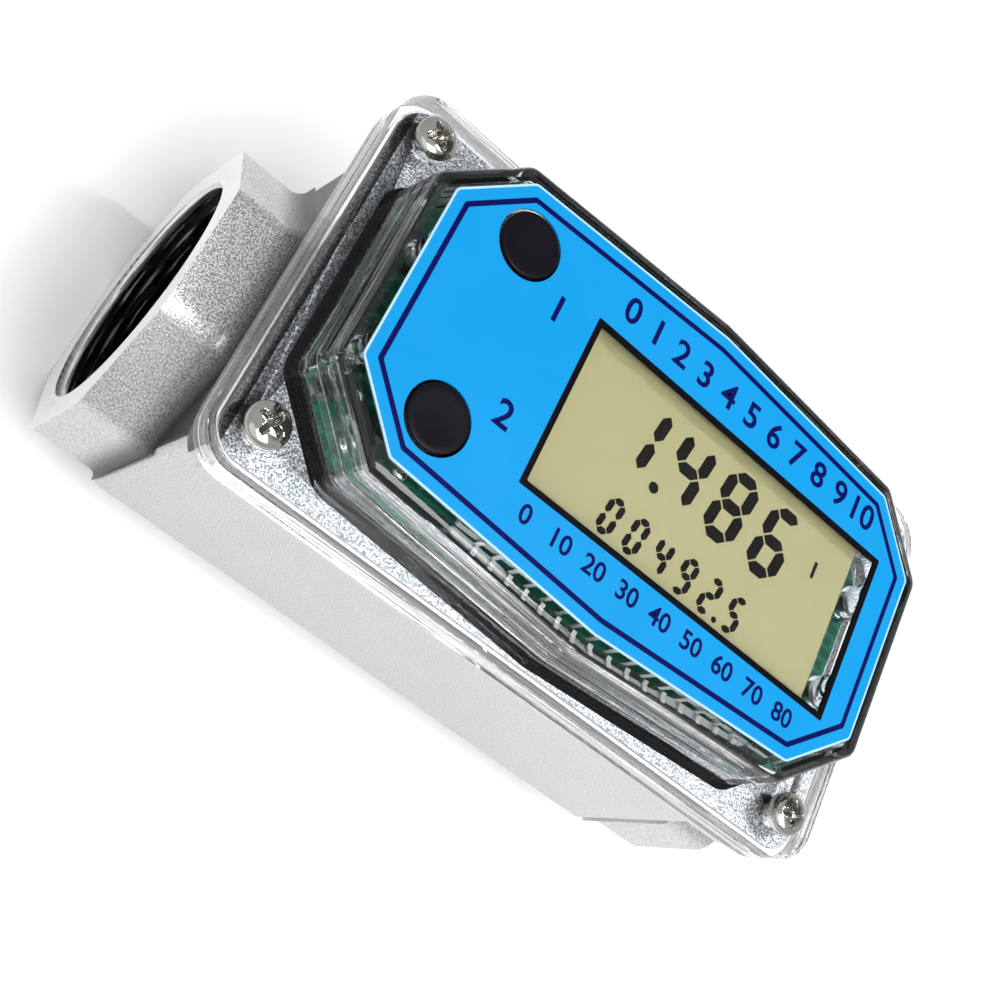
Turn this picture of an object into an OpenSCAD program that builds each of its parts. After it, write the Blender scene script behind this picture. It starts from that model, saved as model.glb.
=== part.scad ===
// Digital turbine flow meter: cast body, clear electronic head, bladed rotor in the bore.
// X runs along the flow, Z up, Y across. The origin is under the middle of the body, on its foot.

/* [Cast body] */
// Length from port face to port face
overall_l = 100; // [94:1:110]
// Metal between a port's thread and the flats of its octagonal collar
port_wall = 3.855; // [3.4:0.005:5]
// How far each collar stands out of the body's end
collar_l = 9; // [7:0.5:12]
// Rounding of the collars' long corners
collar_round = 4; // [2:0.5:6]
// Width of the body below its pad
body_w = 40; // [39.5:0.5:42]
// Metal between the bore and the battery pocket above it
bore_roof = 4; // [3:0.1:6]
// Thickness of the pad that the cover screws into
pad_t = 7; // [6:0.5:9]

/* [Ports and bore] */
// Bore of each threaded port, at the crests of the thread
port_d = 30.29; // [29:0.01:31]
// Depth of each threaded port
port_depth = 16; // [12:1:17]
// Gap between the blades and the bore that they run in
tip_gap = 0.5; // [0.3:0.05:0.8]
// Wall of each straightener's ring
ring_wall = 0.8; // [0.6:0.1:1.2]
// Length of the rotor's bore
throat_l = 22; // [20:1:24]

/* [Rotor] */
// Diameter over the blades
rotor_d = 24.4; // [22:0.1:24.6]
// Length of the blades along the shaft
blade_l = 12; // [8:0.5:14]
// Number of blades
blade_count = 6; // [3:1:8]
// Thickness of a blade
blade_t = 1.3; // [1:0.1:1.8]
// Turn of a blade from end to end, in degrees
blade_twist = 58; // [30:1:75]
// Diameter of the hub
hub_d = 11; // [10.4:0.1:12]
// Length of the hub
hub_l = 14; // [12:0.5:15]
// Diameter of the fixed shaft
shaft_d = 3; // [2:0.1:3.2]

/* [Straighteners] */
// Length of the ring and its vanes
vane_l = 11; // [8:0.5:12]
// Number of vanes
vane_count = 4; // [3:1:6]
// Thickness of a vane
vane_t = 1.2; // [0.8:0.1:1.6]

/* [Clear cover] */
// How far the screw flange reaches past the housing at its ends
flange_end_lip = 4.5; // [3.8:0.05:6]
// How far the screw flange reaches past the housing at its middle
flange_side_lip = 2.2; // [1.8:0.05:4]
// Thickness of the flange above the pad
flange_t = 3; // [2.4:0.1:3.2]
// Depth of the skirt that hangs round the pad
skirt_h = 2.5; // [1:0.5:4]
// Thickness of the window plate
plate_t = 2.2; // [1.6:0.1:2.2]
// How far the housing's top edge stands outside the label
housing_out = 2.45; // [2.4:0.05:3]
// Distance of the cover screws from the flange's ends
screw_inset_x = 4.95; // [4.5:0.05:5.6]
// Distance of the cover screws from the flange's long sides
screw_inset_y = 5.2; // [4.5:0.1:5.8]

/* [Face] */
// Half length of the label
label_end_x = 36.1; // [34:0.1:38]
// Half width of the label at its ends
label_end_y = 10.65; // [9.5:0.05:11.5]
// Length of the label's corner cuts along the flow
label_cut_x = 7.3; // [6:0.1:8]
// Length of the label's corner cuts across the flow
label_cut_y = 6.95; // [6:0.05:8]
// How far the label's long sides bow out at its middle
label_crown = 1.8; // [0.8:0.1:2.4]
// Distance of the window from the label's right end
window_inset = 4.95; // [4.4:0.05:5.6]
// Width of the window
window_w = 21; // [16:0.1:22]
// Diameter of a push button
button_d = 7.2; // [6:0.1:7.6]
// Distance of the buttons from the label's left end
button_inset = 9.7; // [9:0.1:10]
// Distance of the buttons' centres inside the label's long sides
button_drop = 6.3; // [6:0.1:8]
// Length of a button's stem below its flange
button_stem = 1.05; // [0.8:0.05:2.5]
// How far a button travels
button_travel = 0.5; // [0.2:0.1:0.5]

/* [Power] */
// Diameter of a battery cell
cell_d = 10.5; // [9.5:0.1:10.5]
// Length of a battery cell with its nub
cell_l = 44.5; // [40:0.5:45]
// Room under the battery cells in their pocket
cell_floor_gap = 1.4; // [1.2:0.1:2.5]

/* [Hidden] */
$fn = 96;

// General values
overrun = 1;
clearance = 0.3;
fit_gap = 0.05;
slice_t = 0.01;
arc_steps = 4;

// Body
body_l = overall_l - 2 * collar_l;
collar_af = port_d + 2 * port_wall;
axis_z = collar_af / 2;
octagon_flat_share = 0.41421;
octagon_sides = 8;
octagon_turn = 180 / octagon_sides;
collar_steps = 8;
collar_flat = collar_af * octagon_flat_share;
foot_spread = 1.2;
foot_w = collar_flat + foot_spread;
foot_rise = (body_w - foot_w) / 2;
port_edge = 0.4;
skirt_wall = 1.1;
pad_gap = 0.25;
housing_draft = 0.35;
housing_base_out = housing_out + housing_draft;
label_side_x = label_end_x - label_cut_x;
label_side_y = label_end_y + label_cut_y;
label_mid_y = label_side_y + label_crown;
flange_l = 2 * (label_end_x + housing_base_out + flange_end_lip);
flange_w = 2 * (label_mid_y + housing_base_out + flange_side_lip);
pad_l = flange_l - 2 * (skirt_wall + pad_gap);
pad_w = flange_w - 2 * (skirt_wall + pad_gap);
flange_r = 5;
pad_r = flange_r - skirt_wall - pad_gap;
body_r = 1.5;

// Bore
throat_d = rotor_d + 2 * tip_gap;
chamber_d = throat_d + 2 * ring_wall;
chamber_l = overall_l - 2 * port_depth;
bush_wall = 1;
bush_r = shaft_d / 2 + bush_wall;
bush_l = 3;
running_gap = 0.03;
washer_t = 0.5;
washer_band = 1.8;
washer_r = shaft_d / 2 + washer_band;
end_play = 0.15;
hub_r = hub_d / 2;
hub_face = hub_l / 2 + end_play + washer_t;
shaft_seat = 6;
shaft_l = 2 * (hub_face + shaft_seat);
magnet_r = 1;
magnet_l = 3;
magnet_ring_r = (bush_r + hub_r) / 2;
ring_x = throat_l / 2 + vane_l;
circlip_t = 1.2;
circlip_reach = 0.75;
circlip_band = 1.9;
circlip_mouth = 9;
lug_r = 1.7;
lug_hole_r = 0.6;

// Battery pocket and sealing face
holder_t = 1.2;
board_lift = 0.4;
pocket_depth = cell_d + cell_floor_gap + holder_t + clearance - board_lift;
pocket_z = axis_z + chamber_d / 2 + bore_roof;
pad_top = pocket_z + pocket_depth;

// Heights in the head
board_t = 1.6;
board_z = pad_top + board_lift;
board_top = board_z + board_t;
switch_h = 3.5;
plunger_out = 0.9;
plunger_top = board_top + switch_h + button_travel + plunger_out;
button_flange_t = 1;
plate_z = plunger_top + button_stem + button_flange_t + clearance;
cover_top = plate_z + plate_t;
cover_h = cover_top - pad_top;
flange_z = pad_top + flange_t;
label_t = 0.25;
label_z = cover_top + label_t;
cavity_out = 1;
board_gap = 0.4;
board_out = cavity_out - board_gap;
board_rim = 0.5;
recess_step = 1.4;
recess_out = cavity_out - recess_step;
recess_depth = 1.6;
gasket_out = 3.4;
gasket_band = 1.9;
gasket_in = gasket_out - gasket_band;
gasket_depth = 0.9;
housing_edge = 1.3;
housing_r = 1.6;

// Buttons and switches
button_r = button_d / 2;
button_hole_r = button_r + clearance;
button_proud = 0.25;
button_ledge = 0.9;
button_flange_r = button_hole_r + button_ledge;
button_x = label_end_x - button_inset;
button_y = label_side_y - button_drop;
switch_w = 6;
plunger_r = 1.7;
plunger_sink = 0.7;
stem_r = 2.2;

// Display: its left end is set from the buttons and its right end from the label's corners
lcd_button_gap = 3.9;
lcd_past = 0.5;
lcd_side_gap = 0.9;
lcd_left = button_flange_r + lcd_button_gap - button_x;
lcd_right = label_side_x + lcd_past;
lcd_l = lcd_right - lcd_left;
lcd_x = (lcd_right + lcd_left) / 2;
lcd_w = 2 * (label_side_y - lcd_side_gap);
lcd_ledge = 2;
lcd_plate_t = 1.3;
lcd_z = plate_z - clearance - 2 * lcd_plate_t;
lcd_cover = 2.45;
window_left = lcd_left + lcd_cover;
window_right = label_end_x - window_inset;
window_l = window_right - window_left;
window_x = (window_right + window_left) / 2;
window_y = -0.5;
pin_pitch = 2.54;
pin_count = floor(lcd_l / pin_pitch) - 1;
pin_w = 0.6;
pin_t = 0.4;
finger_l = 1.2;

// Board hardware
boss_inset = 2.5;
boss_x = label_end_x - boss_inset;
boss_y = 6.2;
boss_r = 2.1;
board_screw_r = 0.85;
board_screw_l = 5.4;
board_head_r = 1.8;
board_head_t = 1.1;
spare_hole_inset = 1.7;
spare_hole_x = spare_hole_inset - label_end_x;
spare_hole_y = -10.7;
spare_hole_r = 1.1;

// Cover screws
screw_x = flange_l / 2 - screw_inset_x;
screw_y = flange_w / 2 - screw_inset_y;
screw_r = 1.45;
screw_l = 8.4;
screw_head_r = 2.5;
screw_head_h = 1.9;
screw_hole_r = 1.75;
screw_tap_r = screw_r + fit_gap;
cross_w = 0.7;
cross_l = 2.9;
cross_depth = 0.9;

// Battery bay
cell_gap = 4.5;
cell_y = (cell_d + cell_gap) / 2;
spring_l = 3.7;
strip_t = 0.4;
strip_h = 7;
nub_r = 1.9;
nub_l = 0.8;
holder_in_l = cell_l + spring_l + 2 * strip_t;
holder_l = holder_in_l + 2 * holder_t;
holder_in_w = 2 * cell_y + cell_d + 2 * clearance;
holder_w = holder_in_w + 2 * holder_t;
cell_show = 0.5;
holder_depth = cell_d - cell_show;
cell_z = board_z - holder_t - clearance - cell_d / 2;
pocket_gap = 0.7;
pocket_l = holder_l + 2 * pocket_gap;
pocket_w = holder_w + 2 * pocket_gap;
pocket_r = 2;
finger_cut_r = 7;
sensor_w = 4.2;
sensor_t = 1.6;
sensor_h = 3.2;
sensor_slot_w = 3.4;
sensor_sink = 2;
sensor_z = pocket_z - sensor_sink;
well_l = sensor_w + 2 * clearance;
well_w = sensor_t + 2 * clearance;
lead_w = 0.5;
lead_pitch = 1.27;
spring_r = 2.9;
spring_wire_r = 0.35;
spring_turns = 3;
spring_ring_sides = 6;
spring_steps = 14;

// Corners of the ten-sided label, anticlockwise from the right end
label_corners = [[label_end_x, label_end_y], [label_side_x, label_side_y], [0, label_mid_y],
    [-label_side_x, label_side_y], [-label_end_x, label_end_y], [-label_end_x, -label_end_y],
    [-label_side_x, -label_side_y], [0, -label_mid_y], [label_side_x, -label_side_y],
    [label_end_x, -label_end_y]];

// Outward normal of the side from a to b
function side_normal(a, b) = [b[1] - a[1], a[0] - b[0]] / norm(b - a);
// Corner b moved so that both of its sides lie d further out
function moved_corner(a, b, c, d) =
    let (n1 = side_normal(a, b), n2 = side_normal(b, c)) b + d * (n1 + n2) / (1 + n1 * n2);
// The label's outline d further out, with corners rounded to radius r
function face_outline(d, r) = [
    for (i = [0:len(label_corners) - 1])
        let (
            a = label_corners[(i + len(label_corners) - 1) % len(label_corners)],
            b = label_corners[i],
            c = label_corners[(i + 1) % len(label_corners)],
            n1 = side_normal(a, b),
            n2 = side_normal(b, c),
            start = atan2(n1[1], n1[0]),
            turn = atan2(n1[0] * n2[1] - n1[1] * n2[0], n1 * n2),
            hub = moved_corner(a, b, c, d - r)
        )
        for (k = [0:arc_steps]) let (t = start + turn * k / arc_steps) hub + r * [cos(t), sin(t)]
];

// A plate of height h in the shape of the face, d outside the label
module face_plate(d, r, h) {
    linear_extrude(h) polygon(face_outline(d, r));
}
// A block l by w by h with upright edges rounded to r, standing on z = 0
module round_block(l, w, r, h) {
    linear_extrude(h) {
        square([l - 2 * r, w], center = true);
        square([l, w - 2 * r], center = true);
        for (x = [-1, 1], y = [-1, 1]) translate([x * (l / 2 - r), y * (w / 2 - r)]) circle(r);
    }
}
// A bar along X from x1 to x2 on the flow axis
module axial_rod(r, x1, x2) {
    translate([x1, 0, axis_z]) rotate([0, 90, 0]) cylinder(r = r, h = x2 - x1);
}
// A cone along X on the flow axis
module axial_cone(r1, r2, x1, x2) {
    translate([x1, 0, axis_z]) rotate([0, 90, 0]) cylinder(r1 = r1, r2 = r2, h = x2 - x1);
}
module at_screws() {
    for (x = [-1, 1], y = [-1, 1]) translate([x * screw_x, y * screw_y, 0]) children();
}
module at_bosses() {
    for (x = [-1, 1], y = [-1, 1]) translate([x * boss_x, y * boss_y, 0]) children();
}
module at_buttons() {
    for (y = [-1, 1]) translate([-button_x, y * button_y, 0]) children();
}

// Outline of a collar about the flow axis: an octagon whose corners are arcs
function collar_outline() = [
    for (side = [0:octagon_sides - 1], k = [0:collar_steps])
        let (
            middle = octagon_turn * (2 * side + 1),
            t = middle + octagon_turn * (2 * k / collar_steps - 1),
            hub = (axis_z - collar_round) / cos(octagon_turn)
        )
        hub * [cos(middle), sin(middle)] + collar_round * [cos(t), sin(t)]
];
// The octagonal bar of both collars
module collar_bar() {
    translate([-overall_l / 2, 0, axis_z]) rotate([90, 0, 90])
        linear_extrude(overall_l) polygon(collar_outline());
}
// Upright middle of the body: flat foot, slanted lower sides, straight walls
module body_block() {
    section = [[-foot_w / 2, 0], [foot_w / 2, 0], [body_w / 2, foot_rise], [body_w / 2, pad_top - pad_t],
        [-body_w / 2, pad_top - pad_t], [-body_w / 2, foot_rise]];
    intersection() {
        translate([-body_l / 2, 0, 0]) rotate([90, 0, 90]) linear_extrude(body_l) polygon(section);
        round_block(body_l, body_w, body_r, pad_top);
    }
}
module meter_body() {
    color("silver") difference() {
        union() {
            collar_bar();
            body_block();
            translate([0, 0, pad_top - pad_t]) round_block(pad_l, pad_w, pad_r, pad_t);
        }
        bore_cuts();
        pad_cuts();
    }
}
module bore_cuts() {
    axial_rod(throat_d / 2, -chamber_l / 2, chamber_l / 2);
    for (s = [0, 180]) rotate([0, 0, s]) {
        axial_rod(chamber_d / 2, throat_l / 2, overall_l / 2);
        axial_rod(port_d / 2, overall_l / 2 - port_depth, overall_l / 2 + overrun);
        axial_cone(port_d / 2, port_d / 2 + port_edge, overall_l / 2 - port_edge, overall_l / 2 + slice_t);
        axial_rod(chamber_d / 2 + circlip_reach, ring_x + fit_gap, ring_x + circlip_t + 3 * fit_gap);
    }
}
module pad_cuts() {
    translate([0, 0, pad_top - recess_depth]) face_plate(recess_out, housing_r, recess_depth + overrun);
    translate([0, 0, pad_top - gasket_depth]) difference() {
        face_plate(gasket_out, gasket_out, gasket_depth + overrun);
        translate([0, 0, -overrun])
            face_plate(gasket_in, gasket_in, gasket_depth + 3 * overrun);
    }
    translate([0, 0, pocket_z]) round_block(pocket_l, pocket_w, pocket_r, pocket_depth + overrun);
    translate([-well_l / 2, -well_w / 2, sensor_z - clearance])
        cube([well_l, well_w, pocket_z - sensor_z + clearance + overrun]);
    at_screws() translate([0, 0, flange_z - screw_l - clearance])
        cylinder(r = screw_tap_r, h = screw_l + overrun);
}

// Outside of the raised housing: a slight draft and a rounded top edge
module housing_shell() {
    hull() {
        translate([0, 0, pad_top]) face_plate(housing_base_out, housing_r, slice_t);
        for (k = [0:arc_steps]) let (t = 90 * k / arc_steps)
            translate([0, 0, cover_top - slice_t - housing_edge * (1 - sin(t))])
                face_plate(housing_out - housing_edge * (1 - cos(t)), housing_r, slice_t);
    }
}
module clear_cover() {
    color("lightcyan", 0.35) {
        difference() {
            union() {
                housing_shell();
                translate([0, 0, pad_top]) round_block(flange_l, flange_w, flange_r, flange_t);
                skirt();
            }
            translate([0, 0, pad_top - overrun])
                face_plate(cavity_out, cavity_out, plate_z - pad_top + overrun);
            at_screws() translate([0, 0, pad_top - overrun])
                cylinder(r = screw_hole_r, h = flange_t + 2 * overrun);
            at_screws() translate([0, 0, flange_z])
                cylinder(r = screw_head_r + clearance, h = cover_h);
            at_buttons() translate([0, 0, plate_z - overrun])
                cylinder(r = button_hole_r, h = plate_t + 2 * overrun);
        }
        cover_bosses();
    }
}
module skirt() {
    translate([0, 0, pad_top - skirt_h]) difference() {
        round_block(flange_l, flange_w, flange_r, skirt_h);
        translate([0, 0, -overrun])
            round_block(pad_l + 2 * pad_gap, pad_w + 2 * pad_gap, pad_r + pad_gap, skirt_h + overrun);
    }
}
// Bosses that hang from the window plate and take the board screws
module cover_bosses() {
    at_bosses() translate([0, 0, board_top]) difference() {
        cylinder(r = boss_r, h = plate_z - board_top);
        translate([0, 0, -overrun])
            cylinder(r = board_screw_r + fit_gap, h = board_screw_l - board_t + clearance + overrun);
    }
}
module cover_gasket() {
    color("black") translate([0, 0, pad_top - gasket_depth]) difference() {
        face_plate(gasket_out - fit_gap, gasket_out - fit_gap, gasket_depth);
        translate([0, 0, -overrun])
            face_plate(gasket_in + fit_gap, gasket_in, gasket_depth + 2 * overrun);
    }
}
// Pan head: a disc with a rounded crown and a cross recess
module screw_head(r, h) {
    crown_share = 0.5;
    difference() {
        rotate_extrude() union() {
            square([r, h * crown_share]);
            translate([0, h * crown_share]) square([r - h * crown_share, h * (1 - crown_share)]);
            intersection() {
                translate([r - h * crown_share, h * crown_share]) circle(h * crown_share);
                square([r, h]);
            }
        }
        for (a = [0, 90]) rotate([0, 0, a])
            translate([-cross_l / 2, -cross_w / 2, h - cross_depth]) cube([cross_l, cross_w, h]);
    }
}
module cover_screws() {
    color("gainsboro") at_screws() {
        translate([0, 0, flange_z]) screw_head(screw_head_r, screw_head_h);
        translate([0, 0, flange_z - screw_l]) cylinder(r = screw_r, h = screw_l);
    }
}
module face_label() {
    color("dodgerblue") translate([0, 0, cover_top]) difference() {
        linear_extrude(label_t) polygon(face_outline(0, housing_r / 2));
        translate([window_x - window_l / 2, window_y - window_w / 2, -overrun])
            cube([window_l, window_w, label_t + 2 * overrun]);
        at_buttons() translate([0, 0, -overrun]) cylinder(r = button_hole_r, h = label_t + 2 * overrun);
    }
}

// Push button: flat head, a flange that keeps it under the window plate, and a stem
module push_button() {
    flange_top = plate_z - clearance;
    color([0.05, 0.05, 0.06]) {
        translate([0, 0, flange_top - button_flange_t])
            cylinder(r = button_flange_r, h = button_flange_t);
        translate([0, 0, flange_top - fit_gap])
            cylinder(r = button_r, h = label_z + button_proud - flange_top + fit_gap);
        translate([0, 0, plunger_top])
            cylinder(r = stem_r, h = flange_top - button_flange_t / 2 - plunger_top);
    }
}
module calibrate_button() {
    translate([-button_x, button_y, 0]) push_button();
}
module display_button() {
    translate([-button_x, -button_y, 0]) push_button();
}
module switch_plunger() {
    sunk_z = board_top + switch_h - plunger_sink;
    color("dimgray") translate([0, 0, sunk_z]) cylinder(r = plunger_r, h = plunger_top - sunk_z);
}
module calibrate_plunger() {
    translate([-button_x, button_y, 0]) switch_plunger();
}
module display_plunger() {
    translate([-button_x, -button_y, 0]) switch_plunger();
}
module switch_bodies() {
    hole_depth = plunger_sink + button_travel + clearance;
    lead_l = 1;
    color([0.1, 0.1, 0.1]) at_buttons() translate([0, 0, board_top]) {
        difference() {
            translate([-switch_w / 2, -switch_w / 2, 0]) cube([switch_w, switch_w, switch_h]);
            translate([0, 0, switch_h - hole_depth])
                cylinder(r = plunger_r + fit_gap + clearance / 2, h = hole_depth + overrun);
        }
        for (a = [0, 180], y = [-1, 1]) rotate([0, 0, a])
            translate([switch_w / 2 - fit_gap, y * switch_w / 3 - pin_w / 2, 0]) cube([lead_l, pin_w, pin_t]);
    }
}

// Two glass plates: the lower one is wider and carries the contact ledges
module lcd_panel() {
    color([0.75, 0.74, 0.54]) {
        translate([lcd_x - lcd_l / 2, window_y - lcd_w / 2, lcd_z]) cube([lcd_l, lcd_w, lcd_plate_t]);
        translate([lcd_x - lcd_l / 2, window_y - lcd_w / 2 + lcd_ledge, lcd_z + lcd_plate_t])
            cube([lcd_l, lcd_w - 2 * lcd_ledge, lcd_plate_t]);
    }
}
// Each pin grips the edge of the lower plate and stands on the board
module lcd_pins() {
    pin_h = lcd_z + lcd_plate_t + pin_t - board_top;
    color("gainsboro") for (side = [-1, 1], i = [0:pin_count - 1])
        translate([lcd_x + (i - (pin_count - 1) / 2) * pin_pitch, window_y, board_top])
            rotate([0, 0, side > 0 ? 0 : 180]) {
                translate([-pin_w / 2, lcd_w / 2, 0]) cube([pin_w, pin_t, pin_h]);
                translate([-pin_w / 2, lcd_w / 2 - finger_l, pin_h - pin_t]) cube([pin_w, finger_l, pin_t]);
                translate([-pin_w / 2, lcd_w / 2 - finger_l, pin_h - 2 * pin_t - lcd_plate_t])
                    cube([pin_w, finger_l, pin_t]);
            }
}
module main_board() {
    color("darkgreen") translate([0, 0, board_z]) difference() {
        intersection() {
            face_plate(board_out, board_out, board_t);
            translate([0, 0, board_t / 2])
                cube([flange_l, lcd_w + 2 * board_rim, 2 * board_t], center = true);
        }
        at_bosses() translate([0, 0, -overrun])
            cylinder(r = board_screw_r + fit_gap, h = board_t + 2 * overrun);
        translate([spare_hole_x, spare_hole_y, -overrun])
            cylinder(r = spare_hole_r, h = board_t + 2 * overrun);
        for (i = [-1:1]) translate([i * lead_pitch, 0, -overrun])
            cylinder(r = lead_w, h = board_t + 2 * overrun);
    }
}
// Flat square package with a row of feet on each side
module processor_chip() {
    chip_w = 10;
    chip_h = 1.4;
    foot_l = 1;
    foot_t = 0.3;
    foot_wide = 0.35;
    feet = 11;
    foot_pitch = 0.8;
    chip_x = 8;
    color([0.12, 0.12, 0.13]) translate([chip_x, 0, board_top]) {
        translate([-chip_w / 2, -chip_w / 2, 0]) cube([chip_w, chip_w, chip_h]);
        for (a = [0, 90, 180, 270], i = [0:feet - 1]) rotate([0, 0, a])
            translate([chip_w / 2 - fit_gap, (i - (feet - 1) / 2) * foot_pitch - foot_wide / 2, 0])
                cube([foot_l, foot_wide, foot_t]);
    }
}
module crystal_can() {
    can_l = 7;
    can_w = 3.6;
    can_h = 2.8;
    can_x = -8;
    color("gainsboro") translate([can_x, 0, board_top])
        round_block(can_w, can_l + can_w, can_w / 2 - fit_gap, can_h);
}
module chip_capacitors() {
    part_l = 2;
    part_w = 1.25;
    part_h = 0.9;
    row_x = 18;
    row_y = 2.4;
    row_pitch = 3.2;
    rows = 4;
    color("tan") for (i = [0:rows - 1], y = [-1, 1])
        translate([row_x + (i % 2) * row_pitch, y * (row_y + row_pitch * floor(i / 2)), board_top])
            translate([0, -part_w / 2, 0]) cube([part_l, part_w, part_h]);
}
module filter_capacitor() {
    can_r = 2;
    can_h = 5;
    can_gap = 5;
    color("dimgray") translate([-button_x - can_gap, 0, board_top]) cylinder(r = can_r, h = can_h);
}
// Flat sensor over the rotor on three long leads from the board
module hall_sensor() {
    color([0.15, 0.15, 0.16]) {
        translate([-sensor_w / 2, -sensor_t / 2, sensor_z]) cube([sensor_w, sensor_t, sensor_h]);
        for (i = [-1:1]) translate([i * lead_pitch - lead_w / 2, -lead_w / 2, sensor_z + sensor_h])
            cube([lead_w, lead_w, board_top - sensor_z - sensor_h]);
    }
}
module board_screws() {
    color("gainsboro") at_bosses() {
        translate([0, 0, board_z - board_head_t]) cylinder(r = board_head_r, h = board_head_t);
        translate([0, 0, board_z]) cylinder(r = board_screw_r, h = board_screw_l);
    }
}

// Open-bottomed holder under the board, with finger cuts in its long walls
module battery_holder() {
    bottom = board_z - holder_t - holder_depth;
    wall_h = holder_depth + holder_t;
    color([0.13, 0.13, 0.14]) difference() {
        translate([0, 0, bottom]) round_block(holder_l, holder_w, pocket_r - pocket_gap, wall_h);
        translate([-holder_in_l / 2, -holder_in_w / 2, bottom - overrun])
            cube([holder_in_l, holder_in_w, holder_depth + overrun]);
        translate([0, -holder_w, bottom - finger_cut_r / 2]) rotate([-90, 0, 0])
            cylinder(r = finger_cut_r, h = 2 * holder_w);
        translate([-sensor_w, -sensor_slot_w / 2, bottom])
            cube([2 * sensor_w, sensor_slot_w, wall_h + overrun]);
    }
}
// A cell lying along X with its nub at the far end
module cell() {
    body_len = cell_l - nub_l;
    rotate([0, 90, 0]) {
        cylinder(r = cell_d / 2, h = body_len);
        cylinder(r = nub_r, h = cell_l);
    }
}
module at_cells() {
    for (s = [0, 180]) rotate([0, 0, s]) translate([-holder_in_l / 2, cell_y, cell_z]) children();
}
module battery_cells() {
    color("goldenrod") at_cells() translate([strip_t + spring_l, 0, 0]) cell();
}
// Points of one ring of the spring's wire at turn angle a, climbing along X
function wire_ring(a, wire_r) = [
    for (j = [0:spring_ring_sides - 1])
        let (
            t = 360 * j / spring_ring_sides,
            r = spring_r + wire_r * cos(t),
            climb = wire_r + (spring_l - 2 * wire_r) * a / (360 * spring_turns)
        )
        [climb + wire_r * sin(t), r * cos(a), r * sin(a)]
];
module coil_spring() {
    rings = spring_turns * spring_steps;
    sides = spring_ring_sides;
    wire_r = spring_wire_r - fit_gap;
    points = [for (i = [0:rings]) each wire_ring(360 * i / spring_steps, wire_r)];
    walls = [
        for (i = [0:rings - 1], j = [0:sides - 1])
            let (a = i * sides + j, b = i * sides + (j + 1) % sides)
            each [[a, b, b + sides], [a, b + sides, a + sides]]
    ];
    ends = [[for (j = [sides - 1:-1:0]) j], [for (j = [0:sides - 1]) rings * sides + j]];
    polyhedron(points, concat(walls, ends));
}
module battery_springs() {
    color("gainsboro") at_cells() translate([strip_t, 0, 0]) coil_spring();
}
module contact_strips() {
    strip_w = 2 * cell_y + strip_h;
    color("gainsboro") for (s = [0, 180]) rotate([0, 0, s])
        translate([-holder_in_l / 2, -strip_w / 2, cell_z - strip_h / 2]) cube([strip_t, strip_w, strip_h]);
}

// Helical blades on a hub with rounded ends, bored for the bushings, magnets and shaft
module turbine_rotor() {
    blade_root = hub_r - blade_t;
    hub_edge = 1;
    color("whitesmoke") translate([0, 0, axis_z]) rotate([0, 90, 0]) difference() {
        union() {
            linear_extrude(blade_l, center = true, twist = blade_twist, slices = 14, $fn = 4)
                for (i = [0:blade_count - 1]) rotate([0, 0, 360 * i / blade_count])
                    translate([blade_root, -blade_t / 2]) square([rotor_d / 2 - blade_root, blade_t]);
            rotate_extrude() polygon([[0, -hub_l / 2], [hub_r - hub_edge, -hub_l / 2],
                [hub_r, -hub_l / 2 + hub_edge], [hub_r, hub_l / 2 - hub_edge],
                [hub_r - hub_edge, hub_l / 2], [0, hub_l / 2]]);
        }
        cylinder(r = shaft_d / 2 + clearance, h = hub_l + 2 * overrun, center = true);
        for (s = [-1, 1]) translate([0, 0, s * (hub_l - bush_l) / 2])
            cylinder(r = bush_r + fit_gap / 2, h = bush_l + slice_t, center = true);
        at_magnets() cylinder(r = magnet_r + fit_gap / 2, h = magnet_l + slice_t);
    }
}
// Places at the rotor's end face, along the turned axis, with the magnets sunk in from it
module at_magnets() {
    for (s = [-1, 1]) translate([s * magnet_ring_r, 0, hub_l / 2 - magnet_l]) children();
}
module rotor_magnets() {
    color("dimgray") translate([0, 0, axis_z]) rotate([0, 90, 0])
        at_magnets() cylinder(r = magnet_r, h = magnet_l);
}
module rotor_bushings() {
    color("goldenrod") for (s = [0, 180]) rotate([0, 0, s]) difference() {
        axial_rod(bush_r, hub_l / 2 - bush_l, hub_l / 2);
        axial_rod(shaft_d / 2 + running_gap, hub_l / 2 - bush_l - overrun, hub_l / 2 + overrun);
    }
}
module rotor_shaft() {
    color("silver") axial_rod(shaft_d / 2, -shaft_l / 2, shaft_l / 2);
}
module thrust_washers() {
    color("ivory") for (s = [0, 180]) rotate([0, 0, s]) difference() {
        axial_rod(washer_r, hub_face - washer_t, hub_face);
        axial_rod(shaft_d / 2 + fit_gap, hub_face - washer_t - overrun, hub_face + overrun);
    }
}
// Outer ring, radial vanes and a round-nosed hub that holds one end of the shaft, on the +X side
module straightener() {
    hub_end = ring_x - hub_r / 2;
        ring_r = chamber_d / 2 - fit_gap;
    color("dimgray") difference() {
        union() {
            difference() {
                axial_rod(ring_r, throat_l / 2, ring_x);
                axial_rod(ring_r - ring_wall, throat_l / 2 - overrun, ring_x + overrun);
            }
            for (i = [0:vane_count - 1])
                translate([0, 0, axis_z]) rotate([360 * (i + 0.5) / vane_count, 0, 0])
                    translate([throat_l / 2, -vane_t / 2, 0]) cube([vane_l, vane_t, ring_r - ring_wall / 2]);
            axial_rod(hub_r, hub_face, hub_end);
            translate([hub_end, 0, axis_z]) sphere(hub_r);
        }
        axial_rod(shaft_d / 2 + fit_gap, hub_face - overrun, hub_face + shaft_seat + fit_gap);
    }
}
module inlet_straightener() {
    rotate([0, 0, 180]) straightener();
}
module outlet_straightener() {
    straightener();
}
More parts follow.
